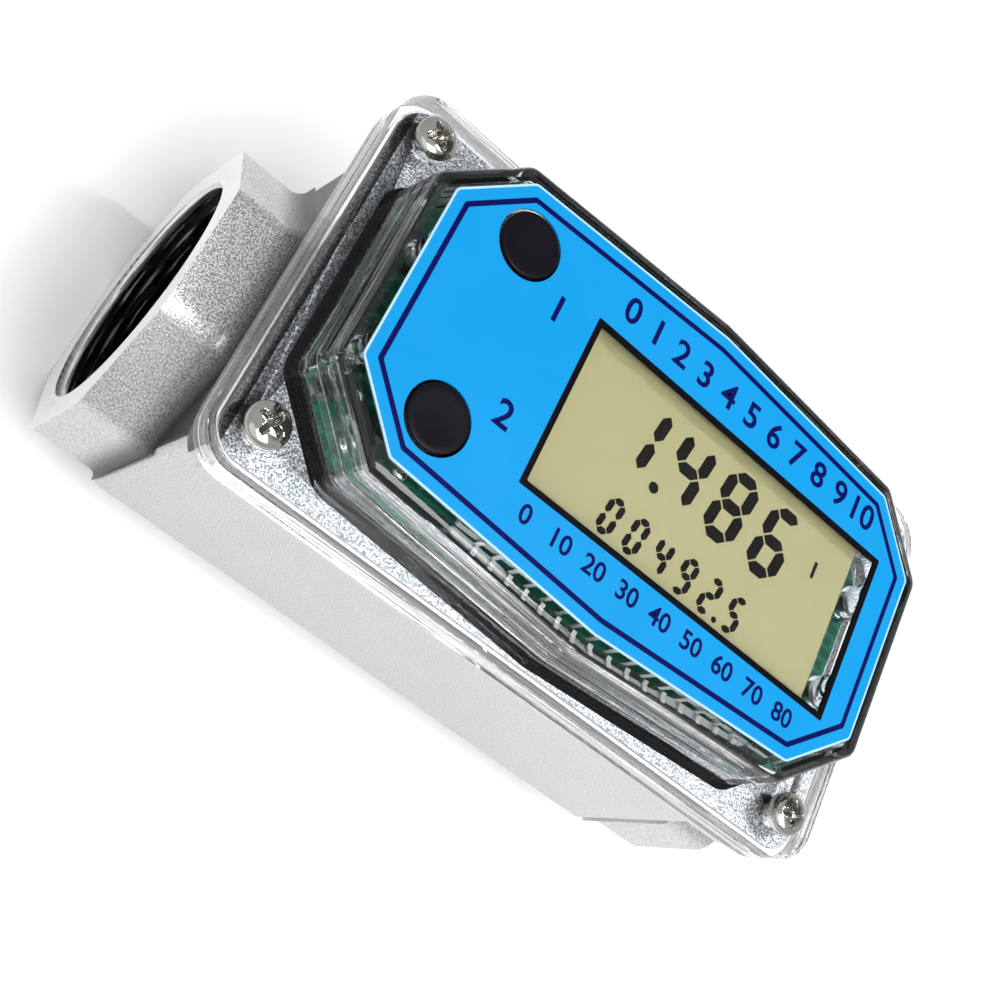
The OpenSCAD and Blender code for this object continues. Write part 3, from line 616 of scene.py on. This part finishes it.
# Cast fillet round each collar's root. Its loops lie at base + (flare - base)(1 - cos t), out from the
# body's end by reach (1 - sin t): base is the collar's octagon, flare the same grown and clipped to the
# body's outline, and reach each point's own distance between the two
root = {"sides": 8, "reach": 2.2, "cornerRound": 4.0, "cornerSteps": 10, "bodyHalf": 19.95, "foot": 8.4,
        "floor": 0.04, "deep": 0.4, "steps": 7}


def rootFillets():
    half = 180 / root["sides"]
    turn = np.radians(half * (2 * np.arange(root["sides"]) + 1))
    corners = axisZ / math.cos(math.radians(half)) * np.column_stack([np.cos(turn), np.sin(turn)])

    def outline(out):
        flat = roundedOutline(corners, out, root["cornerRound"] + out, root["cornerSteps"])
        y = np.clip(flat[:, 0], -root["bodyHalf"], root["bodyHalf"])
        z = np.maximum(flat[:, 1] + axisZ, root["floor"])
        over = np.maximum(np.abs(y) - z - root["foot"], 0) / 2
        return np.column_stack([y - np.sign(y) * over, z + over])

    base, flare, core = outline(0.0), outline(root["reach"]), outline(-root["deep"])
    reach = np.linalg.norm(flare - base, axis=1)
    loops = [np.column_stack([body["bodyEnd"] + reach * (1 - math.sin(t)),
                              base + (flare - base) * (1 - math.cos(t))])
             for t in np.linspace(0, math.pi / 2, root["steps"])]
    loops += [np.column_stack([np.full(len(core), body["bodyEnd"] - root["deep"]), core]),
              np.column_stack([body["bodyEnd"] + reach, core])]
    right = np.array(loops)
    left = right * np.array([-1.0, -1.0, 1.0])
    piece = loopPiece("rootFillets", [right[::-1], left[::-1]], cast, wrap=True)
    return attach(piece, "meter")


# Pipe thread in each port. The inside radius follows a helix: crest radius plus depth times a rounded
# triangle wave of x / pitch - angle / turn, fading out at the inner end and cut by the mouth's chamfer
thread = {"crest": 15.145, "depth": 1.479, "pitch": 2.309, "inner": 34.03, "outer": 49.97,
          "mouthRadius": 15.53, "outside": 17.3, "fade": 2.4, "leadIn": 1.3, "perPitch": 12, "around": 160,
          "flat": 1.25, "flank": 3.0, "soft": 0.35}


def portThread(name, side):
    inner, outer = thread["inner"], thread["outer"]
    rows = int((outer - inner) / thread["pitch"] * thread["perPitch"])
    x = np.linspace(inner, outer, rows)[:, None]
    angle = np.linspace(0, 2 * math.pi, thread["around"], endpoint=False)[None, :]
    phase = (x / thread["pitch"] - side * angle / (2 * math.pi)) % 1.0
    wave = np.clip(thread["flat"] - thread["flank"] * np.abs(phase - 0.5), 0.0, 1.0)
    wave = wave * wave * (3 - 2 * wave) * thread["soft"] + wave * (1 - thread["soft"])
    fade = np.clip((x - inner) / thread["fade"], 0, 1)
    radius = thread["crest"] + thread["depth"] * wave * fade
    radius = np.maximum(radius, thread["mouthRadius"] - (outer - x))
    inside = np.stack([x + 0 * angle, radius * np.cos(angle), radius * np.sin(angle)], axis=2)
    outside = turnedStack([(thread["outside"], inner), (thread["outside"], outer)], (0, 0, 0), "x",
                          thread["around"])
    stack = np.concatenate([outside, inside[::-1]])
    if side < 0:
        stack = stack * np.array([-1.0, -1.0, 1.0])
    stack = stack + np.array([0, 0, axisZ])
    piece = loopPiece(name, [stack], [boreShadeMetal, turned], wrap=True, sharp=40)
    centres = faceFacts(piece.data)[0]
    # Thread faces take the near-black painted-shade metal, the lead-in the turned metal
    setFaceMaterials(piece, np.abs(centres[:, 0]) > outer - thread["leadIn"])
    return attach(piece, "meter")


castBody()
rootFillets()
portThread("outletThread", 1)
portThread("inletThread", -1)
print("body and port threads made")


# The clear head: rounded moulded edges on the flange and skirt, smooth draft on the housing. An edge is
# outside when it lies in the band along a side or end, or in a corner
cover = {"flangeTop": 52.5, "edgeRound": 0.55, "skirtShare": 0.5, "endBand": 1.7, "sideBand": 0.3,
         "corner": 5.2, "near": 0.05, "level": 0.5}


def clearHead():
    piece = copyNode("clear_cover", "clearHead", clear, sharp=28)
    creaseLevels(piece)

    def weigh(middle, direction):
        inX, inY = coverHigh[0] - abs(middle[0]), coverHigh[1] - abs(middle[1])
        outside = inX < cover["endBand"] or inY < cover["sideBand"] or max(inX, inY) < cover["corner"]
        onTop = abs(middle[2] - cover["flangeTop"]) < cover["near"] and abs(direction[2]) < cover["level"]
        if outside and onTop:
            return 1.0
        if outside and middle[2] < coverLow[2] + cover["near"]:
            return cover["skirtShare"]
        return 0.0

    weighEdges(piece, weigh)
    roundEdges(piece, cover["edgeRound"], segments=3)
    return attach(piece, "meter")


clearHead()
nodes["cover_gasket"].data.materials[0] = blackRubber
nodes["face_label"].data.materials[0] = blueInk
print("head, gasket and label made")


# Printing on the face, a hair above the label: its line, a pale blue ring at its edge that is a painted
# highlight, and the band round its window. Each is (outer offset, inner offset, corner radius, lift), a flat
# ring between two outlines
printing = {"lift": 0.012, "sink": 0.20, "faceBorder": (-1.22, -1.82, 0.5, 0.012),
            "labelEdgeGlint": (0.25, -0.05, 1.05, -0.03), "windowBand": (0.2625, -0.4875, 0.2, 0.016)}


def printedRing(name, corners, material):
    outer, inner, radius, lift = printing[name]
    low, top = labelZ - printing["sink"], labelZ + lift
    stack = [atHeight(roundedOutline(corners, offset, radius), height)
             for offset, height in ((outer, low), (outer, top), (inner, top), (inner, low))]
    piece = loopPiece(name, [np.array(stack)], material, wrap=True)
    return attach(piece, "meter")


windowCorners = rectangle(face["windowLeft"], face["windowLow"], face["windowRight"], face["windowHigh"])
printedRing("faceBorder", faceCorners, navyInk)
# The pale blue ring at the label's edge is a painted highlight
printedRing("labelEdgeGlint", faceCorners, paintedEdgeGlint)
printedRing("windowBand", windowCorners, blackInk)


# Scales of plain figures stand where a maker's wording would be
upperScale = {"count": 11, "step": 1, "size": 4.4, "start": -12.2, "pitch": 3.85, "y": 13.6}
lowerScale = {"count": 9, "step": 10, "size": 3.1, "start": -13.2, "pitch": 4.9, "y": -13.75}
lettering = {"keySize": 4.4, "keyX": -20.3, "keyY": (7.4, -6.4), "bold": 0.018, "thickness": 0.04,
             "curveSteps": 4, "weld": 0.0005}


# Plain figures: each (text, size, x, y) becomes a flat mesh set on the label, at x = start + i * pitch
def faceFigures():
    entries = [(str(i * row["step"]), row["size"], row["start"] + i * row["pitch"], row["y"])
               for row in (upperScale, lowerScale) for i in range(row["count"])]
    entries += [(str(i + 1), lettering["keySize"], lettering["keyX"], y)
                for i, y in enumerate(lettering["keyY"])]
    shape = bmesh.new()
    for text, size, x, y in entries:
        curve = bpy.data.curves.new("faceFigures", "FONT")
        curve.body = text
        curve.size = size * mm
        curve.align_x = "CENTER"
        curve.align_y = "CENTER"
        curve.extrude = lettering["thickness"] * mm / 2
        curve.offset = size * mm * lettering["bold"]
        curve.resolution_u = lettering["curveSteps"]
        letter = bpy.data.objects.new("faceFigures", curve)
        bpy.context.scene.collection.objects.link(letter)
        bpy.context.view_layer.update()
        mesh = bpy.data.meshes.new_from_object(letter)
        bpy.data.objects.remove(letter)
        z = labelZ + printing["lift"] - lettering["thickness"] / 2
        mesh.transform(Matrix.Translation((x * mm, y * mm, z * mm)))
        shape.from_mesh(mesh)
    bmesh.ops.remove_doubles(shape, verts=shape.verts, dist=lettering["weld"] * mm)
    joined = bpy.data.meshes.new("faceFigures")
    shape.to_mesh(joined)
    shape.free()
    piece = placePiece("faceFigures", joined, navyInk)
    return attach(piece, "meter")


faceFigures()


# Seven bars of a figure, each a hexagon with pointed ends, leaned over by a share of its height.
# litBars holds the bars that show: a top, b upper right, c lower right, d bottom, e lower left,
# f upper left, g middle
litBars = {"0": "abcdef", "1": "bc", "2": "abged", "3": "abgcd", "4": "fgbc", "5": "afgcd", "6": "afgedc",
           "7": "abc", "8": "abcdefg", "9": "abcdfg"}
bigFigures = {"text": "1486", "left": -7.1, "low": -1.05, "width": 5.0, "height": 9.55, "pitch": 7.12,
              "bar": 1.5, "gap": 0.16, "dots": [(0.15, -0.7, 0.66)]}
smallFigures = {"text": "004925", "left": -4.75, "low": -9.15, "width": 2.35, "height": 4.8, "pitch": 3.88,
                "bar": 0.8, "gap": 0.08, "dots": [(13.97, -8.75, 0.36)]}
display = {"film": 0.12, "filmEnd": 29.05, "filmInset": (0.4, 2.6), "filmEdge": 0.03, "filmRound": 0.6,
           "segmentRise": 0.035, "lean": 0.16, "unit": (24.0, 3.4, 24.45, 5.5), "unitRound": 0.05,
           "plateStep": 2.0, "plateEdge": 0.12, "plateRound": 0.25, "dotSteps": 24}


# A bar from a to b: its points are pulled in by gap, and its shoulders stand half a width inside them
def barShape(a, b, width, gap):
    a = np.array(a, float)
    b = np.array(b, float)
    along = (b - a) / np.linalg.norm(b - a)
    across = np.array([-along[1], along[0]]) * width / 2
    a = a + along * gap
    b = b - along * gap
    tip = along * width / 2
    return np.array([a, a + tip - across, b - tip - across, b, b - tip + across, a + tip + across])


# Bars and dots of a row of figures, each bar moved over by lean * its height in the row
def figureStacks(row, top):
    w = row["width"] - row["bar"]
    h = (row["height"] - row["bar"]) / 2
    ends = {"a": ((0, 2 * h), (w, 2 * h)), "b": ((w, h), (w, 2 * h)), "c": ((w, 0), (w, h)),
            "d": ((0, 0), (w, 0)), "e": ((0, 0), (0, h)), "f": ((0, h), (0, 2 * h)), "g": ((0, h), (w, h))}
    outlines = []
    for i, figure in enumerate(row["text"]):
        for key in litBars[figure]:
            flat = barShape(*ends[key], row["bar"], row["gap"]) + row["bar"] / 2
            flat[:, 0] += row["left"] + i * row["pitch"] + display["lean"] * flat[:, 1]
            flat[:, 1] += row["low"]
            outlines.append(flat)
    angle = np.linspace(0, 2 * math.pi, display["dotSteps"], endpoint=False)
    for x, y, radius in row["dots"]:
        outlines.append(np.column_stack([x + radius * np.cos(angle), y + radius * np.sin(angle)]))
    low = top - display["segmentRise"]
    return [np.array([atHeight(flat, low), atHeight(flat, top)]) for flat in outlines]


# Two plates of glass, a film on the upper one, and the lit bars on the film
def displayPanel():
    seam = lcdLow[2] + (lcdHigh[2] - lcdLow[2]) / 2
    edge = display["plateEdge"]
    step = display["plateStep"]

    def plateStack(corners, z1, z2):
        return outlineStack(corners, [(-edge, z1), (0, z1 + edge), (0, z2 - edge), (-edge, z2)],
                            display["plateRound"])

    lower = rectangle(lcdLow[0], lcdLow[1], lcdHigh[0], lcdHigh[1])
    upper = rectangle(lcdLow[0], lcdLow[1] + step, lcdHigh[0], lcdHigh[1] - step)
    plates = [plateStack(lower, lcdLow[2], seam), plateStack(upper, seam, lcdHigh[2])]
    glass = loopPiece("displayGlass", plates, [lcdGlass, lcdBack])
    setFaceMaterials(glass, faceFacts(glass.data)[0][:, 2] < seam - edge)
    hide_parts("lcd_panel")
    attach(glass, "meter")
    filmTop = lcdHigh[2] + display["film"]
    soft = display["filmEdge"]
    insetX, insetY = display["filmInset"]
    filmBox = rectangle(lcdLow[0] + insetX, lcdLow[1] + insetY, display["filmEnd"], lcdHigh[1] - insetY)
    filmLevels = [(0, lcdHigh[2]), (0, filmTop - soft), (-soft, filmTop)]
    film = loopPiece("displayFilm", [outlineStack(filmBox, filmLevels, display["filmRound"])], lcdFilm)
    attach(film, "meter")
    rise = filmTop + display["segmentRise"]
    unit = outlineStack(rectangle(*display["unit"]), [(0, filmTop), (0, rise)], display["unitRound"])
    marks = loopPiece("displayFigures",
                      figureStacks(bigFigures, rise) + figureStacks(smallFigures, rise) + [unit], segmentInk)
    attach(marks, "meter")


displayPanel()
print("display made")


# Screws: a domed head whose cross recess is a height field on a polar grid. The dome is
# flat + (height - flat) (1 - (r / radius)^power)^0.5, and the recess takes deep * cut from it, a little
# less towards the rim. Each wing ends over its run-out and narrows to tip of its width
screw = {"radius": 2.5, "height": 1.9, "flat": 0.95, "power": 2.6, "rim": 0.12, "shank": 1.45,
         "shankEnd": 44.1, "wing": 1.62, "wingWidth": 0.42, "wall": 0.12, "runOut": 0.55, "tip": 0.72,
         "deep": 1.15, "rise": 0.35, "x": 38.45, "y": 19.2, "seat": 52.5, "turns": (20, 50, 75, 35),
         "pole": 0.02, "rings": 40, "around": 96}


def screwHeads():
    stacks = []
    angle = np.linspace(0, 2 * math.pi, screw["around"], endpoint=False)[None, :]
    share = np.linspace(0, 1, screw["rings"])
    full, seat = screw["radius"], screw["seat"]
    radius = (full * np.sin(share * math.pi / 2))[:, None]
    radius[0] = screw["pole"]
    reach = radius / full
    dome = screw["flat"] + (screw["height"] - screw["flat"]) * np.sqrt(
        np.clip(1 - reach ** screw["power"], 0, 1))
    places = [(x * screw["x"], y * screw["y"]) for x in (-1, 1) for y in (-1, 1)]

    def wing(along, across):
        inside = np.clip((screw["wing"] - along) / screw["runOut"], 0, 1)
        half = screw["wingWidth"] * (screw["tip"] + (1 - screw["tip"]) * inside)
        return inside * np.clip((half - across) / screw["wall"], 0, 1)

    for (x, y), turn in zip(places, screw["turns"]):
        swing = angle + math.radians(turn)
        u = np.abs(radius * np.cos(swing))
        v = np.abs(radius * np.sin(swing))
        cut = np.maximum(wing(u, v), wing(v, u))
        height = dome - screw["deep"] * cut * (1 - screw["rise"] * reach ** 2)
        top = np.stack([x + radius * np.cos(angle), y + radius * np.sin(angle), seat + height], axis=2)
        side = turnedStack([(screw["shank"], screw["shankEnd"] - seat), (screw["shank"], 0),
                            (full - screw["rim"], 0.0), (full, screw["rim"])], (x, y, seat), "z",
                           screw["around"])
        stacks.append(np.concatenate([side, top[::-1]]))
    piece = loopPiece("coverScrewSet", stacks, nickel, sharp=50)
    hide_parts("cover_screws")
    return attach(piece, "meter")


screwHeads()


# Push buttons: a flat rubber head with a rolled edge on its flange and stem, dished by dish (1 - share^2)
button = {"radius": 3.6, "round": 0.22, "dish": 0.06, "flange": 4.8, "flangeLow": 1.05, "flangeHigh": 2.05,
          "flangeEdge": 0.1, "stem": 2.2, "pole": 0.02, "shares": (0.8, 0.5, 0.25, 0.01), "arcSteps": 6,
          "around": 96}


def pushButton(node, name, bodyName):
    low, high = boxOf(node)
    x, y = (low[0] + high[0]) / 2, (low[1] + high[1]) / 2
    r, edge = button["radius"], button["round"]
    rim, soft = button["flange"], button["flangeEdge"]
    under, over = low[2] + button["flangeLow"], low[2] + button["flangeHigh"]
    arc = np.linspace(0, math.pi / 2, button["arcSteps"])
    rolled = [(r - edge + edge * math.cos(t), high[2] - edge + edge * math.sin(t)) for t in arc]
    profile = [(button["pole"], low[2]), (button["stem"], low[2]), (button["stem"], under),
               (rim - soft, under), (rim, under + soft), (rim, over - soft), (rim - soft, over), (r, over)]
    dish = [(share * (r - edge), high[2] - button["dish"] * (1 - share ** 2)) for share in button["shares"]]
    stack = turnedStack(profile + rolled + dish, (x, y, 0), "z", button["around"])
    piece = loopPiece(name, [stack], buttonRubber, sharp=40)
    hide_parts(node)
    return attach(piece, bodyName)


pushButton("calibrate_button", "calibrateCap", "calibrate_key")
pushButton("display_button", "displayCap", "display_key")
print("screws and buttons made")


# Works inside the head
dress("main_board", "boardSheet", board)
dress("switch_bodies", "switchPair", blackPlastic, edge=0.12)
dress("processor_chip", "processorChip", blackPlastic)
dress("crystal_can", "crystalCan", tin, edge=0.25)
dress("filter_capacitor", "filterCapacitor", blackPlastic, edge=0.25)
dress("battery_holder", "batteryHolder", blackPlastic)
for key, material in {"calibrate_plunger": greyPlastic, "display_plunger": greyPlastic, "lcd_pins": tin,
                      "chip_capacitors": ceramic, "hall_sensor": blackPlastic, "board_screws": brightSteel,
                      "battery_cells": cellJacket, "battery_springs": tin, "contact_strips": tin,
                      "rotor_shaft": brightSteel, "thrust_washers": washerPlastic,
                      "rotor_magnets": magnetPlate, "rotor_bushings": bronze,
                      "retaining_rings": brightSteel}.items():
    nodes[key].data.materials[0] = material

# Works in the bore
dress("turbine_rotor", "bladedRotor", rotorPlastic, body="rotor", sharp=40)
dress("inlet_straightener", "inletVanes", greyPlastic, edge=0.2)
dress("outlet_straightener", "outletVanes", greyPlastic, edge=0.2)
print("works made")


# Board fittings that show through the clear ends: a plated hole and solder pads
fittings = {"ring": 1.75, "hole": 1.12, "rise": 0.06, "sink": 0.02, "holeX": -34.4, "holeY": -10.7,
            "padX": (-29.2, -23.6), "padY": (-14.2, -7.8, 7.8, 14.2),
            "pad": ((0.95, -0.02), (0.85, 0.25), (0.5, 0.5), (0.05, 0.55), (0.04, -0.02)), "ringAround": 48,
            "padAround": 24}


def boardPads():
    low, high = boardTop - fittings["sink"], boardTop + fittings["rise"]
    wide, narrow = fittings["ring"], fittings["hole"]
    ring = [(wide, low), (wide, high), (narrow, high), (narrow, low)]
    stacks = [turnedStack(ring, (fittings["holeX"], fittings["holeY"], 0), "z", fittings["ringAround"])]
    for x in fittings["padX"]:
        for y in fittings["padY"]:
            stacks.append(turnedStack(fittings["pad"], (x, y, boardTop), "z", fittings["padAround"]))
    piece = loopPiece("solderPads", stacks, tin, wrap=True, sharp=50)
    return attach(piece, "meter")


boardPads()


# A wide pale slab, its top just under the body
floor = {"half": 3000.0, "top": -0.05, "low": -20.0, "mottles": 400.0, "darker": (0.95, 0.95, 0.95),
         "paler": (0.98, 0.98, 0.98), "rough": 0.6, "specular": 0.1}


def paleFloor():
    flat = rectangle(-floor["half"], -floor["half"], floor["half"], floor["half"])
    material, tree, shader = newMaterial("paleFloor")
    fine = noise(tree, objectPlace(tree), floor["mottles"], detail=3.0)
    feed(tree, shader, {"Roughness": floor["rough"], "Specular IOR Level": floor["specular"],
                        "Base Color": ramp(tree, fine, floor["darker"], floor["paler"])})
    slab = np.array([atHeight(flat, floor["low"]), atHeight(flat, floor["top"])])
    piece = loopPiece("paleFloor", [slab], material)


# A rectangular lamp turned so that its face looks at aim
def areaLight(name, power, place, aim, size):
    data = bpy.data.lights.new(name, "AREA")
    data.shape = "RECTANGLE"
    data.size, data.size_y = size
    data.energy = power
    lamp = bpy.data.objects.new(name, data)
    bpy.context.scene.collection.objects.link(lamp)
    lamp.location = place
    direction = np.array(aim) - np.array(place)
    yaw = math.atan2(direction[1], direction[0]) - math.pi / 2
    pitch = math.atan2(direction[2], math.hypot(direction[0], direction[1])) + math.pi / 2
    lamp.rotation_euler = (pitch, 0, yaw)


# A soft sun from the front left, a soft box almost overhead whose image falls on the collars' rounded
# corners, a strip that glares on the clear flange, and a bright sky with one dark field that the flat faces
# mirror towards the camera: brightness = bright + (dark - bright) * range(direction . field). Places and
# sizes are in metres, turns in degrees
studio = {"sunStrength": 0.30, "sunAngle": 50.0, "sunTurn": (40, 0, -35), "worldStrength": 0.53,
          "worldTones": (1.0, 0.12), "field": (0.50, 0.44, 0.75), "fieldSpan": (0.84, 0.98)}
lamps = {"topSoft": {"power": 5.8, "place": (0.12, -0.30, 0.82), "aim": (-0.03, 0, 0.04),
                     "size": (0.42, 0.50)},
         "edgeStrip": {"power": 1.0, "place": (0.236, 0.129, 0.660), "aim": (0.236, 0.129, 0.0),
                       "size": (0.04, 0.21)}}


def studioLights():
    data = bpy.data.lights.new("softSun", "SUN")
    data.energy = studio["sunStrength"]
    data.angle = math.radians(studio["sunAngle"])
    sun = bpy.data.objects.new("softSun", data)
    bpy.context.scene.collection.objects.link(sun)
    sun.rotation_euler = [math.radians(each) for each in studio["sunTurn"]]
    for name, values in lamps.items():
        areaLight(name, **values)
    world = bpy.data.worlds.new("studioWorld")
    bpy.context.scene.world = world
    world.use_nodes = True
    tree = world.node_tree
    place = addNode(tree, "ShaderNodeTexCoord").outputs["Generated"]
    along = addNode(tree, "ShaderNodeVectorMath", {0: place, 1: studio["field"]}, operation="DOT_PRODUCT")
    shade = mapped(tree, along.outputs["Value"], studio["worldTones"], studio["fieldSpan"], "SMOOTHSTEP")
    feed(tree, tree.nodes["Background"], {"Color": shade, "Strength": studio["worldStrength"]})


# The camera fitted to the photograph, its place and lens in millimetres and its turn in degrees
view = {"place": (-79.15, -79.50, 189.44), "turn": (9.9357, -33.7143, 29.4021), "lens": 58.1751,
        "sensor": 36.0, "clipStart": 10.0}


def photoCamera():
    data = bpy.data.cameras.new("photoCamera")
    data.lens = view["lens"]
    data.sensor_width = view["sensor"]
    data.clip_start = view["clipStart"] * mm
    camera = bpy.data.objects.new("photoCamera", data)
    bpy.context.scene.collection.objects.link(camera)
    camera.location = np.array(view["place"]) * mm
    camera.rotation_euler = [math.radians(each) for each in view["turn"]]
    bpy.context.scene.camera = camera


paleFloor()
studioLights()
photoCamera()
bpy.context.scene.view_settings.view_transform = "Standard"
print("floor, lights and camera set")
